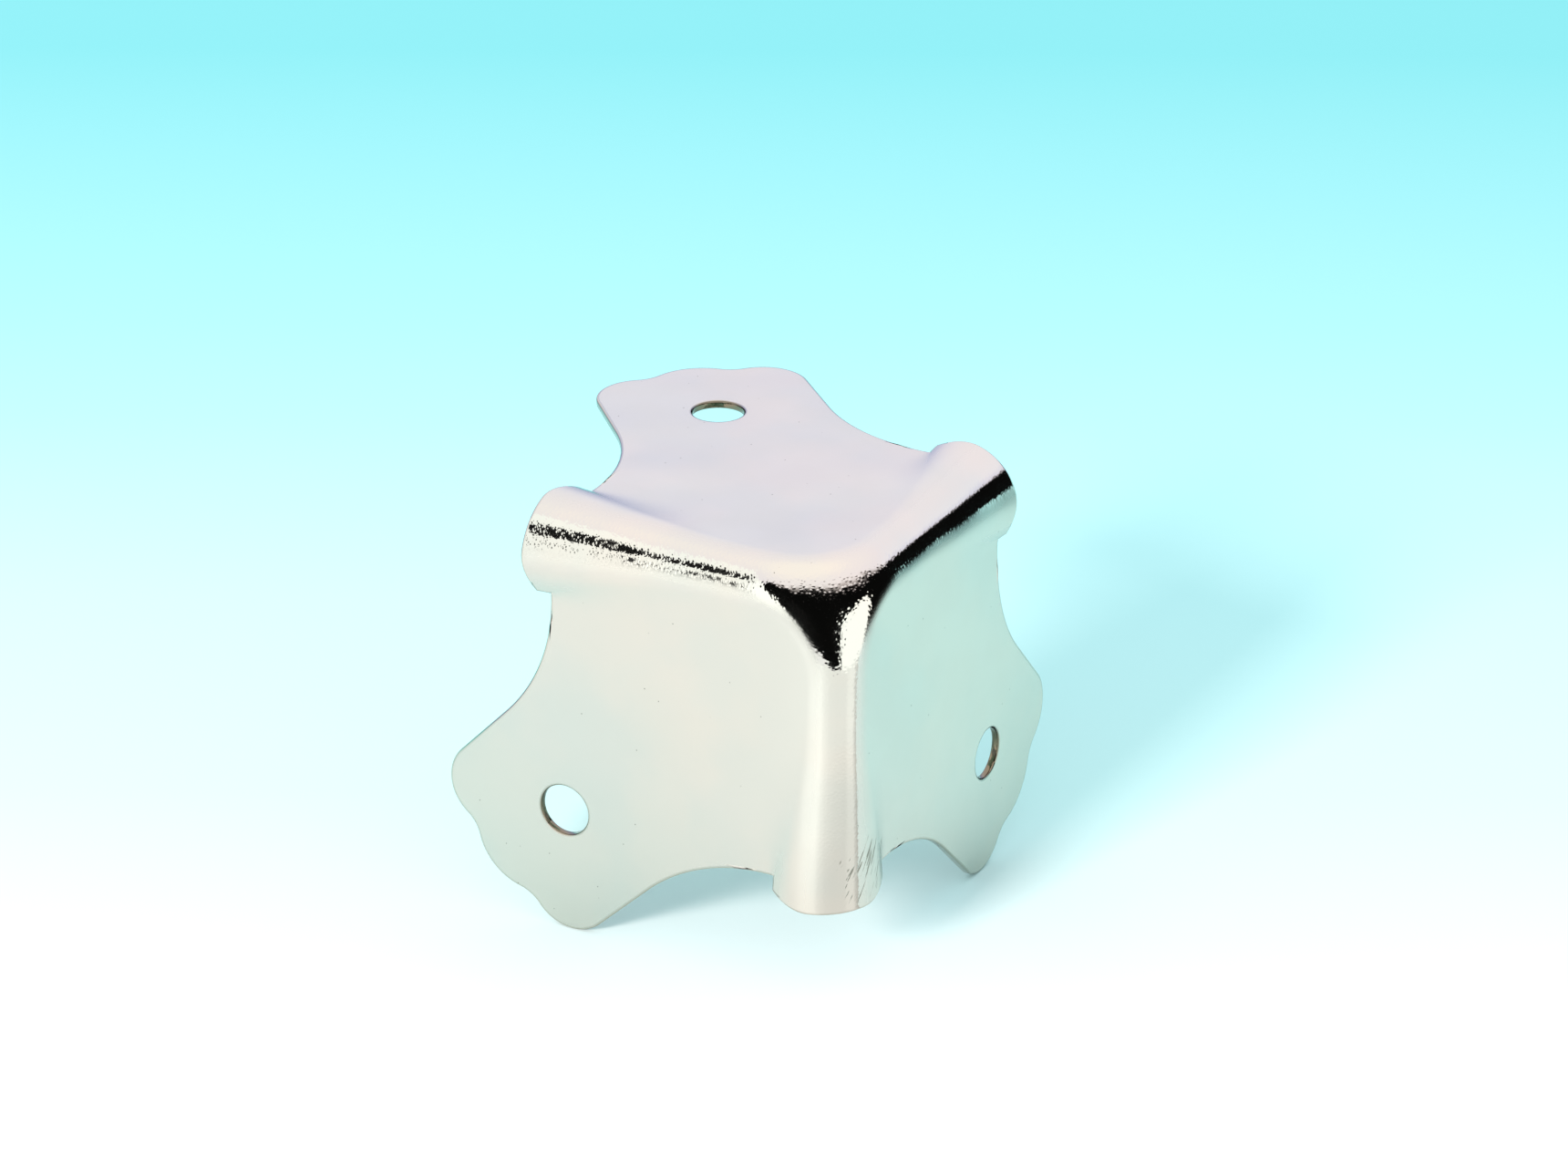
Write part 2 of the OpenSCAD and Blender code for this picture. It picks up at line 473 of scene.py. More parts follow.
# %% Give the sheet its thickness and round its edges
edge_round, edge_segments = 0.2 * MM, 4

bpy.ops.object.mode_set(mode="EDIT")
bpy.ops.mesh.select_mode(type="EDGE")
bpy.ops.mesh.select_all(action="DESELECT")
bpy.ops.mesh.select_non_manifold(
    use_wire=False, use_multi_face=False, use_non_contiguous=False, use_verts=False)
bpy.ops.transform.edge_bevelweight(value=1)
bpy.ops.object.mode_set(mode="OBJECT")

gauge = shell.modifiers.new("sheet", "SOLIDIFY")
gauge.thickness = sheet_t * MM
gauge.offset = -1
gauge.use_even_offset = True
gauge.use_quality_normals = True
gauge.rim_vertex_group = shell.vertex_groups.new(name="rim").name
roll_over = shell.modifiers.new("sheared edge", "BEVEL")
roll_over.width = edge_round
roll_over.segments = edge_segments
roll_over.limit_method = "WEIGHT"
roll_over.use_clamp_overlap = False
roll_over.harden_normals = True
apply_modifiers(shell)
bpy.ops.object.shade_smooth()
print("shell:", len(shell.data.polygons), "faces,", open_edges(shell), "open edges")

# %% [markdown]
# The finish is duller where the sheet was sheared, and darker on the walls of the punched holes, where
# little nickel settles. That darkness, and the darker colour of the sheared edges, is partly the metal's own
# and partly painted shade and painted dark reflection. Two attributes on the points tell the material where
# that is. The first is the weight that Solidify gave to the rim, and the second says whether a point lies at
# a hole.

# %% Mark the sheared edges and the punched holes
rim_weights = [max((g.weight for g in vertex.groups), default=0.0) for vertex in shell.data.vertices]
sheared_share = shell.data.attributes.new("sheared", "FLOAT", "POINT")
sheared_share.data.foreach_set("value", rim_weights)
shell.vertex_groups.clear()


def near_hole(point):
    """Whether a point is within the wall of a hole, on any of the three flanges."""
    largest, second = sorted((abs(c) / MM for c in point), reverse=True)[:2]
    return math.hypot(largest - hole_inset, second - hole_inset) < hole_r + edge_round / MM


hole_weights = [float(near_hole(vertex.co)) for vertex in shell.data.vertices]
punched_share = shell.data.attributes.new("punched", "FLOAT", "POINT")
punched_share.data.foreach_set("value", hole_weights)
print(sum(map(bool, rim_weights)), "points on the rim,", sum(map(bool, hole_weights)), "in the holes")

# %% [markdown]
# Bright nickel is a warm mirror, so its material is one Principled shader that is metal all over. Everything
# else about it changes over the surface and comes from nodes. A few helpers add a node, set its
# sockets and give back its output, so a chain of nodes can be read as a sum is read.

# %% Start the nickel
nickel = bpy.data.materials.new("nickel_plate")
nickel.use_nodes = True
plate = nickel.node_tree
bsdf = plate.nodes["Principled BSDF"]
bsdf.inputs["Metallic"].default_value = 1.0


def add_node(tree, kind, sockets, **options):
    """Add a shader node with its options. A socket takes a value or the output of another node."""
    made = tree.nodes.new("ShaderNode" + kind)
    for option, choice in options.items():
        setattr(made, option, choice)
    for socket, source in sockets.items():
        if isinstance(source, bpy.types.NodeSocket):
            tree.links.new(source, made.inputs[socket])
        else:
            made.inputs[socket].default_value = source
    return made


def calculate(tree, operation, a, b=0.0, c=0.0):
    return add_node(tree, "Math", {0: a, 1: b, 2: c}, operation=operation).outputs["Value"]


def map_range(tree, value, start, end, low=0.0, high=1.0):
    """Map a value from start..end to low..high, easing at both ends."""
    sockets = {"Value": value, "From Min": start, "From Max": end, "To Min": low, "To Max": high}
    return add_node(tree, "MapRange", sockets, interpolation_type="SMOOTHSTEP").outputs["Result"]


def blend_values(tree, share, a, b):
    return add_node(tree, "Mix", {0: share, 2: a, 3: b}, data_type="FLOAT").outputs[0]


def blend_colours(tree, share, a, b):
    return add_node(tree, "Mix", {0: share, 6: a, 7: b}, data_type="RGBA").outputs[2]


def noise(tree, vector, scale, detail=2.0):
    return add_node(tree, "TexNoise", {"Vector": vector, "Scale": scale, "Detail": detail}).outputs["Fac"]


print("nickel starts with", len(plate.nodes), "nodes")

# %% [markdown]
# A pressed sheet isn't even. Where the press stretched the steel, on the folds and the nose, its grain opens
# into a fine orange peel. Barrel polishing makes these high places the brightest, and leaves the flats
# a little duller. So the finish needs to know where the sheet is folded. A flat's normal lies along one axis
# and a fold's doesn't, so the largest part of the normal makes a mask. The inner side is found in the
# same way, by whether the normal looks along the nose.

# %% Mask the folds and the inside
flat_limit, fold_limit = 0.992, 0.90
side_blend = 0.1

coordinates = add_node(plate, "TexCoord", {}).outputs
spot, normal = coordinates["Object"], coordinates["Normal"]
absolute = add_node(plate, "VectorMath", {0: normal}, operation="ABSOLUTE").outputs["Vector"]
leaning = add_node(plate, "SeparateXYZ", {0: absolute}).outputs
squareness = calculate(plate, "MAXIMUM", calculate(plate, "MAXIMUM", leaning[0], leaning[1]), leaning[2])
stretched = map_range(plate, squareness, flat_limit, fold_limit)
facing = add_node(plate, "VectorMath", {0: normal, 1: nose_axis}, operation="DOT_PRODUCT").outputs["Value"]
inside = map_range(plate, facing, side_blend, -side_blend)
sheared = add_node(plate, "Attribute", {}, attribute_name="sheared").outputs["Fac"]
punched = add_node(plate, "Attribute", {}, attribute_name="punched").outputs["Fac"]
print("folds begin at", round(math.degrees(math.acos(flat_limit)), 1), "degrees off the flat")

# %% [markdown]
# Three textures of different size make the unevenness: a pebble grain of about a third of a millimetre,
# a softer peel of about one, and the slow sway that pressing leaves in the flats. A Voronoi texture gives
# round pebbles, and noise gives the rest. The left ridge and the nose were drawn the hardest, so their
# grain is the deepest. Each is given its real height in micrometres, which the Bump node later reads.

# %% Grain, peel and sway
grain_size, grain_height, grain_on_flat = 0.34 * MM, 7.5, 0.005
pebble_end = 0.65
hard_to, soft_from, soft_grain = 9 * MM, 15 * MM, 0.4
peel_size, peel_height, peel_on_flat = 1.1 * MM, 9, 0.08
sway_size, sway_height = 9 * MM, 200


def folded_height(texture, height, on_flat):
    """A texture that is at its full height on the folds and at a share of it on the flats."""
    share = blend_values(plate, stretched, on_flat * height, height)
    return calculate(plate, "MULTIPLY", texture, share)


pebble = add_node(plate, "TexVoronoi", {"Vector": spot, "Scale": 1 / grain_size}).outputs["Distance"]
pebbles = map_range(plate, pebble, pebble_end, 0.0)
from_corner = add_node(plate, "SeparateXYZ", {0: spot}).outputs
below_top = calculate(plate, "MULTIPLY", from_corner[2], -1.0)
from_left = calculate(plate, "MAXIMUM", from_corner[1], below_top)
hardness = map_range(plate, from_left, hard_to, soft_from, 1.0, soft_grain)
grain = calculate(plate, "MULTIPLY", folded_height(pebbles, grain_height, grain_on_flat), hardness)
peel = folded_height(noise(plate, spot, 1 / peel_size), peel_height, peel_on_flat)
sway = calculate(plate, "MULTIPLY", noise(plate, spot, 1 / sway_size, detail=0.0), sway_height)
relief = calculate(plate, "ADD", calculate(plate, "ADD", grain, peel), sway)
print(f"grain {grain_size / MM:.2f} mm, peel {peel_size / MM:.2f} mm, sway {sway_size / MM:.0f} mm")

# %% [markdown]
# A loose part has been handled. It has small pits where a speck kept the nickel off, and the upright ridge
# is scuffed at its lower end, on its right side. A Mapping node in texture mode moves and turns the noise to
# that place, and stretches it into strokes. A ball of gradient around the place fades them out.

# %% Pits and a scuff
pit_spacing, pit_r, pit_floor_r = 1.9 * MM, 0.085 * MM, 0.0425 * MM
scuff_place, scuff_turn = Vector((1.1, 3.2, -28.6)) * MM, (math.radians(-26), 0, 0)
scuff_r, scuff_fade = 4.4 * MM, (0.02, 0.3)
stroke_size = (0.5 * MM, 0.22 * MM, 3.0 * MM)
stroke_limits, stroke_gain = (0.69, 0.75), 0.16

speck = add_node(plate, "TexVoronoi", {"Vector": spot, "Scale": 1 / pit_spacing}).outputs["Distance"]
pits = map_range(plate, speck, pit_r / pit_spacing, pit_floor_r / pit_spacing)

scuff_ball = add_node(
    plate, "Mapping",
    {"Vector": spot, "Location": scuff_place, "Scale": (scuff_r, scuff_r, scuff_r)},
    vector_type="TEXTURE").outputs["Vector"]
nearness = add_node(plate, "TexGradient", {"Vector": scuff_ball}, gradient_type="SPHERICAL").outputs["Fac"]
stroke_space = add_node(
    plate, "Mapping",
    {"Vector": spot, "Location": scuff_place, "Rotation": scuff_turn, "Scale": stroke_size},
    vector_type="TEXTURE").outputs["Vector"]
crowding = calculate(plate, "MULTIPLY", nearness, stroke_gain)
strokes = calculate(plate, "ADD", noise(plate, stroke_space, 1.0), crowding)
outer_nearness = calculate(plate, "SUBTRACT", map_range(plate, nearness, *scuff_fade), inside)
scuff_cover = calculate(plate, "MAXIMUM", outer_nearness, 0.0)
scuff = calculate(plate, "MULTIPLY", map_range(plate, strokes, *stroke_limits), scuff_cover)
marks = calculate(plate, "MAXIMUM", pits, scuff)
print("scuff of", round(2 * scuff_r / MM, 1), "mm at", [round(c / MM, 1) for c in scuff_place])

# %% [markdown]
# Now the masks are put together. The colour is nickel's warm grey, a little cooler in patches. It is darker
# where the shear tore the edge and in the marks, and darkest in the holes. On the cut edges and in the holes
# the darkening is partly the metal's own tone and partly painted shade and painted dark reflection. On a
# metal, the base colour is the colour of its reflections, so small differences are enough.

# %% Colour of the plate
plate_warm, plate_cool = (0.665, 0.645, 0.57, 1), (0.625, 0.635, 0.57, 1)
# Painted shade: these cut colours partly stand for the shade and dark reflections on the edges and in the
# holes.
edge_grey_and_shade, hole_brown_and_shade = (0.40, 0.385, 0.31, 1), (0.22, 0.19, 0.13, 1)
mark_grey, mark_cover = (0.13, 0.135, 0.10, 1), 0.7
patch_size, patch_limits = 14 * MM, (0.38, 0.62)

patches = map_range(plate, noise(plate, spot, 1 / patch_size, detail=3.0), *patch_limits)
plain_colour = blend_colours(plate, patches, plate_warm, plate_cool)
# Painted shade and painted dark reflection, mixed into the cut edges and the hole walls.
cut_colour_and_shade = blend_colours(plate, punched, edge_grey_and_shade, hole_brown_and_shade)
unmarked = blend_colours(plate, sheared, plain_colour, cut_colour_and_shade)
marked = calculate(plate, "MULTIPLY", marks, mark_cover)
plate.links.new(blend_colours(plate, marked, unmarked, mark_grey), bsdf.inputs["Base Color"])
print("plate colour:", plate_warm[:3], "to", plate_cool[:3])

# %% [markdown]
# The roughness is low on the polished folds, higher on the flats and inside, and highest in the marks. Slow
# smudges vary it a little. On the flats it stays above 0.275, because the denoiser treats smoother
# metal as a mirror, and a flat with places on both sides of that limit comes out with lines in it.

# %% Gloss of the plate
flat_gloss, fold_gloss = (0.28, 0.33), (0.045, 0.07)
inside_gloss, edge_gloss, mark_gloss = 0.34, 0.11, 0.5
smudge_size, smudge_limits = 5 * MM, (0.35, 0.65)

smudges = noise(plate, spot, 1 / smudge_size, detail=4.0)
on_flat = map_range(plate, smudges, *smudge_limits, *flat_gloss)
on_fold = map_range(plate, smudges, *smudge_limits, *fold_gloss)
gloss = blend_values(plate, stretched, on_flat, on_fold)
for mask, masked_gloss in ((inside, inside_gloss), (sheared, edge_gloss), (marks, mark_gloss)):
    gloss = blend_values(plate, mask, gloss, masked_gloss)
plate.links.new(gloss, bsdf.inputs["Roughness"])
print("roughness:", flat_gloss, "on the flats and", fold_gloss, "on the folds")

# %% [markdown]
# The marks also go into the relief, so they catch the light. The relief is in micrometres, so the distance
# of the Bump node is one micrometre. Then the finished shell takes the place of the CAD node.

# %% Bump of the plate, and the finished shell
MICRON = 1e-6
pit_depth, scuff_depth = 9, 8

for mark, mark_depth in ((pits, pit_depth), (scuff, scuff_depth)):
    relief = calculate(plate, "MULTIPLY_ADD", mark, -mark_depth, relief)
bump = add_node(plate, "Bump", {"Height": relief, "Distance": MICRON, "Strength": 1.0})
plate.links.new(bump.outputs["Normal"], bsdf.inputs["Normal"])
shell.data.materials.append(nickel)
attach(shell, "root")
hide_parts("corner_shell")
print("nickel:", len(plate.nodes), "nodes")

# %% [markdown]
# The floor is a sheet of paper that is white in front and turns a pale sky colour towards the back. It lies
# under the two lower tips of the flanges. The colour change follows the direction in which the camera looks,
# and is a smooth ramp over the floor's own coordinates, so it stays in place in every other view.

# %% Lay the floor
floor_z = cad_box[0].z
floor_side = 6.0
view_azimuth, view_elevation, view_roll = math.radians(28.23), math.radians(25.28), math.radians(-0.34)
paper = [
    (-0.05, (0.86, 0.83, 0.86, 1)),
    (-0.02, (0.82, 0.84, 0.87, 1)),
    (0.01, (0.70, 0.84, 0.86, 1)),
    (0.04, (0.60, 0.84, 0.85, 1)),
    (0.085, (0.53, 0.82, 0.84, 1)),
    (0.135, (0.41, 0.75, 0.78, 1)),
    (0.165, (0.36, 0.70, 0.73, 1)),
    (0.275, (0.22, 0.62, 0.66, 1)),
]


def colour_ramp(tree, value, stops):
    """Colours along a value, from stops of the value and a colour."""
    first, last = stops[0][0], stops[-1][0]
    sockets = {"Value": value, "From Min": first, "From Max": last}
    share = add_node(tree, "MapRange", sockets).outputs["Result"]
    ramp = add_node(tree, "ValToRGB", {"Fac": share})
    elements = ramp.color_ramp.elements
    elements[0].color, elements[1].color = stops[0][1], stops[-1][1]
    for position, colour in stops[1:-1]:
        elements.new((position - first) / (last - first)).color = colour
    return ramp.outputs["Color"]


def stage_material(name, kind, sockets):
    """A material with one shader, for a thing of the studio. It comes with its nodes and that shader."""
    material = bpy.data.materials.new(name)
    material.use_nodes = True
    tree = material.node_tree
    tree.nodes.remove(tree.nodes["Principled BSDF"])
    shader = add_node(tree, kind, sockets)
    tree.links.new(shader.outputs[0], tree.nodes["Material Output"].inputs["Surface"])
    return material, tree, shader


bpy.ops.object.select_all(action="DESELECT")
bpy.ops.mesh.primitive_plane_add(size=floor_side, location=(0, 0, floor_z))
floor = bpy.context.object
floor.name = "floor"
floor_paper, tree, matt = stage_material("floor_paper", "BsdfDiffuse", {})
floor_spot = add_node(tree, "TexCoord", {}).outputs["Object"]
view_way = (-math.sin(view_azimuth), math.cos(view_azimuth), 0)
depth = add_node(tree, "VectorMath", {0: floor_spot, 1: view_way}, operation="DOT_PRODUCT").outputs["Value"]
tree.links.new(colour_ramp(tree, depth, paper), matt.inputs["Color"])
floor.data.materials.append(floor_paper)
print("floor at", round(floor_z / MM, 2), "mm")

# %% [markdown]
# A mirror shows its surroundings, so the surroundings make the picture. Around the part stand cards, as a
# product photographer sets them. A card starts as a cylinder's wall. It is cut to a range of azimuth, and
# its two edges are pulled to the elevations that the metal should see them at. Only reflections see the
# cards, so they hide nothing from any side. Azimuths are in degrees, from the back over the right side.

# %% Cut a card from a cylinder
card_r = 0.22
card_centre = Vector((0.0, 0.005, 0.0))
round_steps = 360


def at_azimuth(stops, degrees):
    """The value at an azimuth, between stops of an azimuth in degrees and a value."""
    for (a, low), (b, high) in zip(stops, stops[1:]):
        if a <= degrees <= b:
            return low + (high - low) * (degrees - a) / (b - a)
    return stops[0][1] if degrees < stops[0][0] else stops[-1][1]


def azimuth_of(point):
    """Degrees from the back, over the right side, of a point seen from the card's axis."""
    return math.degrees(math.atan2(point.x, point.y)) % 360


def delete_faces(sheet, unwanted):
    """Delete the faces of the active sheet for which unwanted(face) is true."""
    bpy.ops.object.mode_set(mode="EDIT")
    bpy.ops.mesh.select_mode(type="FACE")
    bpy.ops.mesh.select_all(action="DESELECT")
    bpy.ops.object.mode_set(mode="OBJECT")
    for face in sheet.data.polygons:
        face.select = unwanted(face)
    bpy.ops.object.mode_set(mode="EDIT")
    bpy.ops.mesh.delete(type="FACE")
    bpy.ops.object.mode_set(mode="OBJECT")


def keep_sector(sheet, start, end):
    """Delete the faces of a round sheet that don't lie between two azimuths."""
    delete_faces(sheet, lambda face: not start < azimuth_of(face.center) < end)


def show_in_reflections(sheet, name, material):
    """Make a sheet a card of the studio, which only reflections see."""
    sheet.name = name
    sheet.data.materials.append(material)
    sheet.visible_camera = False
    sheet.visible_diffuse = False
    sheet.visible_shadow = False
    sheet.visible_transmission = False
    print(f"{name}: {len(sheet.data.polygons)} faces")


def card(name, share, top, low, foot, material):
    """A curved card at a share of card_r. Top, low and foot are stops of azimuth: the elevations of its
    two edges, and how far out its low edge stands."""
    bpy.ops.object.select_all(action="DESELECT")
    bpy.ops.mesh.primitive_cylinder_add(vertices=round_steps, radius=card_r, end_fill_type="NOTHING")
    wall = bpy.context.object
    keep_sector(wall, top[0][0], top[-1][0])
    for vertex in wall.data.vertices:
        degrees = azimuth_of(vertex.co)
        is_top = vertex.co.z > 0
        out = card_r if is_top else at_azimuth(foot, degrees)
        height = card_r * math.tan(math.radians(at_azimuth(top if is_top else low, degrees)))
        turn = math.radians(degrees)
        vertex.co = share * Vector((out * math.sin(turn), out * math.cos(turn), height)) + card_centre
    show_in_reflections(wall, name, material)


print("cards stand", card_r, "m from the part")

# %% [markdown]
# The black cards draw the dark shapes. A wide one on the right makes the stripe on the right ridge and
# the triangle on the nose. A small band makes the stripe on the left ridge, and a thin line the fine one
# under it. The wide card is cloth that turns brown and sheer towards its top, so its stripe has a soft upper
# edge. Cards that overlap stand at different shares of card_r, and the inner one hides the outer.

# %% Stand the black cards
inner, middle, outer = 0.97, 1.0, 1.03
ground = -11
upright_foot = [(0, card_r)]
black_top = [
    (14, 16), (22, 18), (30, 22), (36, 26), (45, 34), (60, 45), (90, 53), (120, 58), (150, 61), (180, 58),
    (198, 53), (204, 45)]
black_low = [
    (14, 4), (22, 3), (28, 3), (33, 0), (35, ground), (180, ground), (184, -4), (188, 8), (193, 22),
    (198, 28), (204, 36)]
black_foot = [
    (34, card_r), (36, 0.17), (50, 0.155), (66, 0.145), (68, card_r), (115, card_r), (122, 0.135),
    (140, 0.13), (152, 0.19), (165, card_r)]
band_top = [(214, 37), (216, 41), (218, 43), (225, 45.5), (233, 47.5)]
band_low = [(214, 34), (216, 32), (221, 31), (225, 37), (233, 44)]
line_top = [
    (190, -8), (196, -9.5), (202, -10), (205, -5), (207, 3), (209, 13), (210, 20), (212, 25), (214, 28)]
line_low = [
    (190, -10.5), (196, -12), (202, -13), (205, -9), (207, -1), (209, 7), (210, 13), (212, 19), (214, 24)]
fade_from, fade_to = 0.77, 1.0
cloth_black, cloth_brown = (0.004, 0.004, 0.004, 1), (0.42, 0.30, 0.22, 1)
black_glow = 0.01


def glowing(name, brightness, colour=(1, 1, 1, 1)):
    return stage_material(name, "Emission", {"Strength": brightness, "Color": colour})[0]


black_cloth, tree, sheer = stage_material("black_cloth", "MixShader", {})
up_card = add_node(tree, "SeparateXYZ", {0: add_node(tree, "TexCoord", {}).outputs["UV"]}).outputs[1]
fading = map_range(tree, up_card, fade_from, fade_to)
worn_cloth = blend_colours(tree, fading, cloth_black, cloth_brown)
tree.links.new(fading, sheer.inputs[0])
tree.links.new(add_node(tree, "Emission", {"Color": worn_cloth}).outputs[0], sheer.inputs[1])
tree.links.new(add_node(tree, "BsdfTransparent", {}).outputs[0], sheer.inputs[2])

card("black_card", middle, black_top, black_low, black_foot, black_cloth)
card("black_band", middle, band_top, band_low, upright_foot, glowing("black_band", black_glow))
card("black_line", middle, line_top, line_low, upright_foot, glowing("black_line", black_glow))

# %% [markdown]
# The white cards fill the rest. One in front lights the left ridge around its stripe. One on the right
# stands inside the black card and makes the bright leaf beside the triangle. A mint one at the back carries
# the floor's colour up to the stripe on the right ridge. The front one is brightest near the nose, so its
# glow is a ramp over the azimuth.

# %% Stand the white cards
to_ground = [(0, ground)]
front_top = [(160, 30), (205, 36), (215, 48), (230, 56), (250, 57)]
front_glow = [(160, 1.7), (206, 1.7), (214, 1.42), (225, 1.46)]
side_top = [(66, 8), (69, 16), (75, 26), (94, 32), (108, 28), (116, 19), (121, 4)]
side_foot = [(66, 0.15), (72, 0.125), (121, 0.115)]
side_glow = 1.6
back_top = [(12, 9), (36, 9)]
back_glow, back_mint = 1.0, (0.64, 1.12, 1.18, 1)


def graded(name, stops):
    """A glow that changes with the azimuth. It comes with its nodes and its shader."""
    material, tree, glow = stage_material(name, "Emission", {})
    sides = add_node(tree, "SeparateXYZ", {0: add_node(tree, "TexCoord", {}).outputs["Object"]}).outputs
    toward = calculate(tree, "DEGREES", calculate(tree, "ARCTAN2", sides[0], sides[1]))
    turn = calculate(tree, "WRAP", toward, 360.0, 0.0)
    greys = [(degrees, (white, white, white, 1)) for degrees, white in stops]
    tree.links.new(colour_ramp(tree, turn, greys), glow.inputs["Color"])
    return material, tree, glow


card("front_card", outer, front_top, to_ground, upright_foot, graded("front_card", front_glow)[0])
card("side_card", inner, side_top, to_ground, side_foot, glowing("side_card", side_glow))
card("back_card", outer, back_top, to_ground, upright_foot, glowing("back_card", back_glow, back_mint))

# %% [markdown]
# Seen from above, the front flange and the upright ridge mirror the floor before them. A wedge of glowing
# paper lies there, cut from a circle. Its brightness changes with the azimuth, which gives the upright ridge
# its soft stripes. Close to that ridge it is a little dimmer, which is a painted shadow of the part on the
# floor.

# %% Lay a wedge of paper on the floor
wedge_r, wedge_lift = 0.12, 0.2 * MM
wedge_glow = [
    (72, 0.80), (84, 1.36), (96, 1.36), (105, 1.24), (131, 1.24), (148, 1.28), (164, 1.42), (174, 1.62),
    (192, 1.62), (203, 1.54), (210, 1.30), (226, 1.26)]
wedge_middle = Vector((12, 2, 0)) * MM
# Painted shadow of the part: the wedge glows dimmer within these distances of the upright ridge.
dim_to, bright_from, painted_shadow_share = 18 * MM, 46 * MM, 0.82

bpy.ops.object.select_all(action="DESELECT")
bpy.ops.mesh.primitive_circle_add(vertices=round_steps, radius=wedge_r, fill_type="TRIFAN")
floor_wedge = bpy.context.object
keep_sector(floor_wedge, wedge_glow[0][0], wedge_glow[-1][0])
floor_wedge.location.z = floor_z + wedge_lift
wedge_paper, tree, glow = graded("floor_wedge", wedge_glow)
wedge_spot = add_node(tree, "TexCoord", {}).outputs["Object"]
# Painted shadow: the glow is dimmed close to the part, as if the part shaded the floor.
far_out = add_node(
    tree, "VectorMath", {0: wedge_spot, 1: wedge_middle}, operation="DISTANCE").outputs["Value"]
painted_part_shadow = map_range(tree, far_out, dim_to, bright_from, painted_shadow_share, 1.0)
tree.links.new(painted_part_shadow, glow.inputs["Strength"])
show_in_reflections(floor_wedge, "floor_wedge", wedge_paper)

# %% [markdown]
# Seen from behind, the top flange would mirror the whole black card. A white screen hangs over it, just
# behind the folds. It is two sides of a cube, and a Geometry node makes it one-sided: it is white towards
# the flange, and clear towards the folds and the nose, which still see past it. Its foot fades out, so it
# leaves no line on the flange.

# %% Hang a screen over the top flange
screen_from, screen_to = 7.5 * MM, 100 * MM
screen_foot, screen_top = (sheet_t + 0.05) * MM, 70 * MM
clear_to, white_from = 1.0 * MM, 6.0 * MM
screen_white = (1.08, 1.06, 1.15, 1)

bpy.ops.object.select_all(action="DESELECT")
bpy.ops.mesh.primitive_cube_add(size=1)
screen = bpy.context.object
for vertex in screen.data.vertices:
    vertex.co = (
        -screen_from if vertex.co.x > 0 else -screen_to,
        screen_to if vertex.co.y > 0 else screen_from,
        screen_top if vertex.co.z > 0 else screen_foot)
screen.data.update()
delete_faces(screen, lambda face: face.normal.x < 0.5 and face.normal.y > -0.5)

screen_cloth, tree, sided = stage_material("screen_cloth", "MixShader", {})
up_screen = add_node(tree, "SeparateXYZ", {0: add_node(tree, "TexCoord", {}).outputs["Object"]}).outputs[2]
inner_side = add_node(tree, "NewGeometry", {}).outputs["Backfacing"]
whiteness = calculate(tree, "MULTIPLY", inner_side, map_range(tree, up_screen, clear_to, white_from))
tree.links.new(whiteness, sided.inputs[0])
tree.links.new(add_node(tree, "BsdfTransparent", {}).outputs[0], sided.inputs[1])
tree.links.new(add_node(tree, "Emission", {"Color": screen_white}).outputs[0], sided.inputs[2])
show_in_reflections(screen, "white_screen", screen_cloth)

# %% [markdown]
# Above the cards is the sky: a white ceiling in the reflections, which turns cooler and dimmer towards the
# horizon. A Light Path node gives the floor an even fill light instead, because a bright ceiling would
# wash the shadow out. Nothing in it is small and bright, so Cycles needn't search it for lights.

# %% Hang the ceiling
ceiling = [
    (0.00, (0.50, 0.54, 0.84, 1)),
    (0.20, (0.70, 0.73, 1.02, 1)),
    (0.36, (1.07, 1.05, 1.31, 1)),
    (0.44, (1.24, 1.21, 1.38, 1)),
    (0.62, (1.27, 1.19, 1.33, 1)),
    (0.85, (1.34, 1.25, 1.33, 1)),
    (0.97, (1.48, 1.36, 1.34, 1)),
]
fill_light = (0.92, 1.08, 1.10, 1)

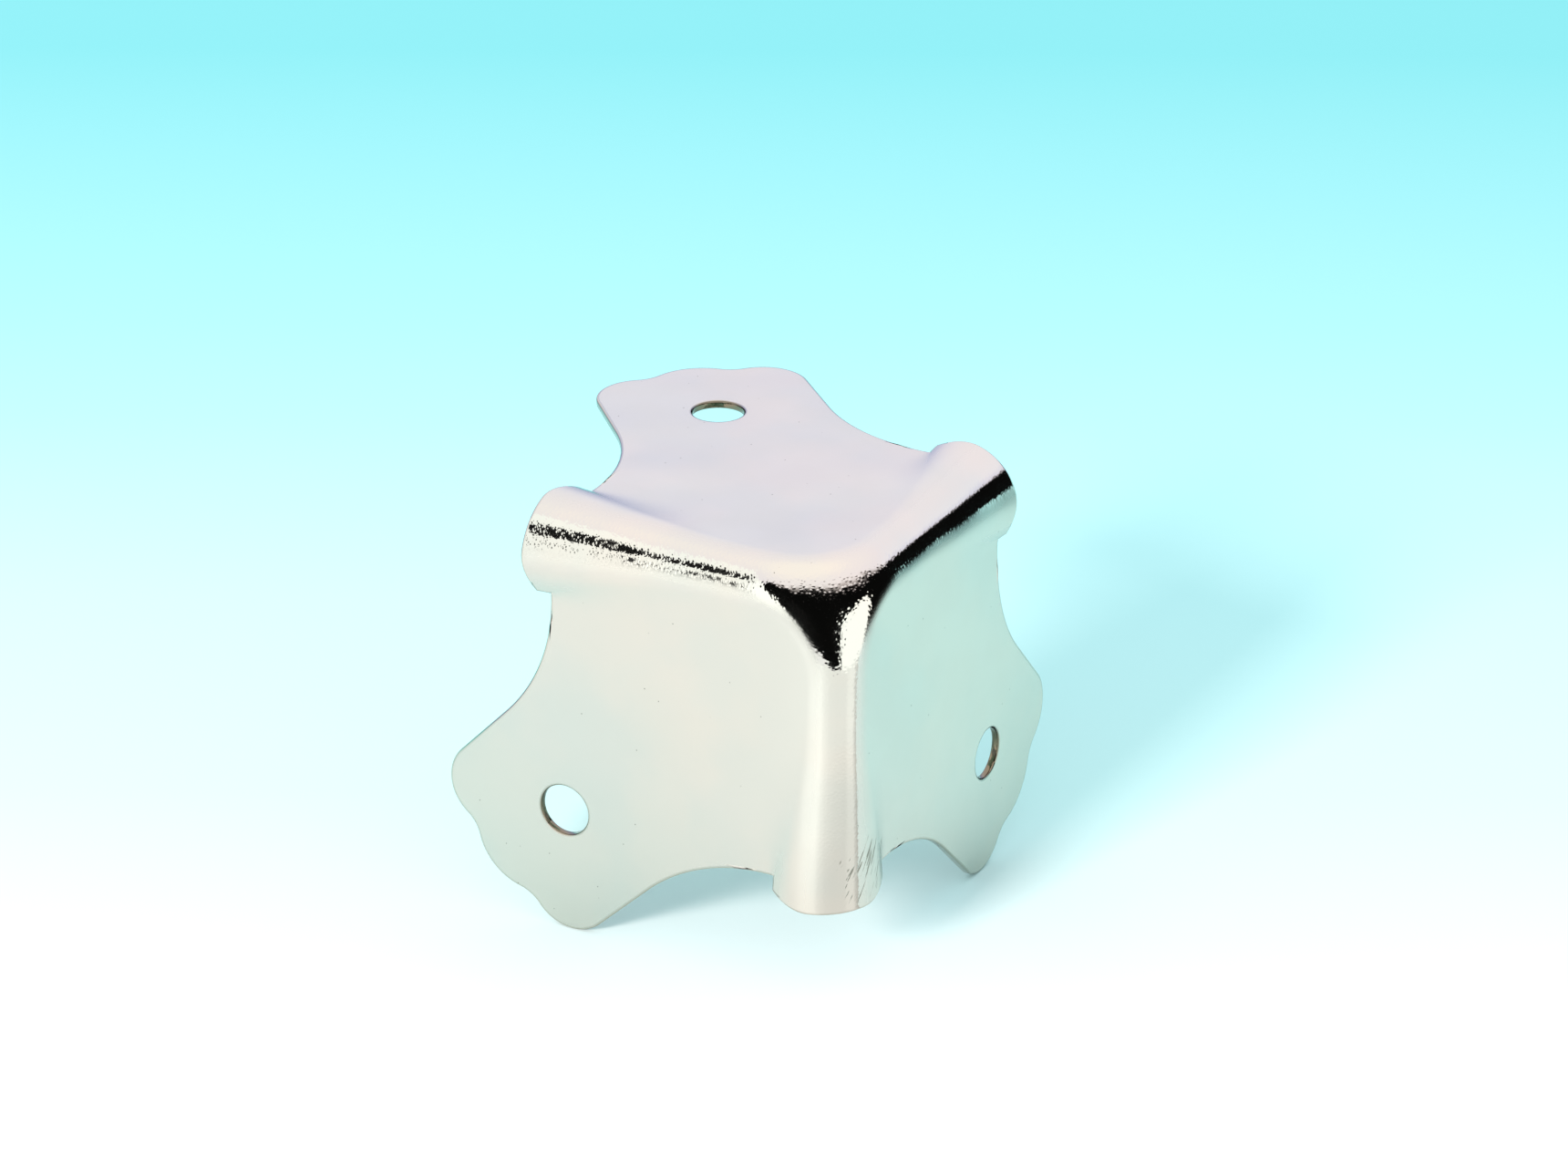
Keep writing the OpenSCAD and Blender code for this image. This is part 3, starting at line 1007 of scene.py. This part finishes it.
world = bpy.data.worlds.new("studio")
bpy.context.scene.world = world
world.use_nodes = True
world.cycles.sampling_method = "NONE"
tree = world.node_tree
direction = add_node(tree, "TexCoord", {}).outputs["Generated"]
sky_height = add_node(tree, "SeparateXYZ", {0: direction}).outputs[2]
on_matt = add_node(tree, "LightPath", {}).outputs["Is Diffuse Ray"]
sky = blend_colours(tree, on_matt, colour_ramp(tree, sky_height, ceiling), fill_light)
tree.links.new(sky, tree.nodes["Background"].inputs["Color"])
print("ceiling of", len(ceiling), "colours")

# %% [markdown]
# One large lamp far in front makes the soft shadow behind the part. It isn't seen in the metal, where it
# would be a hard white spot.

# %% Light the lamp
lamp_azimuth, lamp_height, lamp_far = math.radians(-171), math.radians(27), 2.5
lamp_size, lamp_power, lamp_tint = 0.55, 75.0, (1.0, 0.8, 0.76)

lamp_place = lamp_far * Vector((
    math.sin(lamp_azimuth) * math.cos(lamp_height),
    math.cos(lamp_azimuth) * math.cos(lamp_height),
    math.sin(lamp_height)))
bpy.ops.object.light_add(type="AREA", location=lamp_place)
lamp = bpy.context.object
lamp.name = "key_lamp"
lamp.data.size = lamp_size
lamp.data.energy = lamp_power
lamp.data.color = lamp_tint
lamp.rotation_euler = (-lamp_place).to_track_quat("-Z", "Y").to_euler()
lamp.visible_glossy = False
print("lamp at", [round(c, 3) for c in lamp_place])

# %% [markdown]
# The camera stands where the photograph was taken from: a long lens, a little above the part and
# to its right. Its place comes from a pinhole camera fitted to the part's holes, necks and dips.

# %% Set up the camera
camera_place = Vector((157.66, -304.83, 162.50)) * MM
camera_lens, sensor_width, clip_start = 99.61, 36, 0.01

back = Vector((
    math.sin(view_azimuth) * math.cos(view_elevation),
    -math.cos(view_azimuth) * math.cos(view_elevation),
    math.sin(view_elevation)))
level = Vector((math.cos(view_azimuth), math.sin(view_azimuth), 0))
right = math.cos(view_roll) * level - math.sin(view_roll) * back.cross(level)
up = back.cross(right)
bpy.ops.object.camera_add()
camera = bpy.context.object
camera.matrix_world = Matrix.Translation(camera_place) @ Matrix((right, up, back)).transposed().to_4x4()
camera.data.lens = camera_lens
camera.data.sensor_width = sensor_width
camera.data.clip_start = clip_start
bpy.context.scene.camera = camera
bpy.context.scene.view_settings.view_transform = "Standard"
print("camera looks down by", round(math.degrees(view_elevation), 2), "degrees")
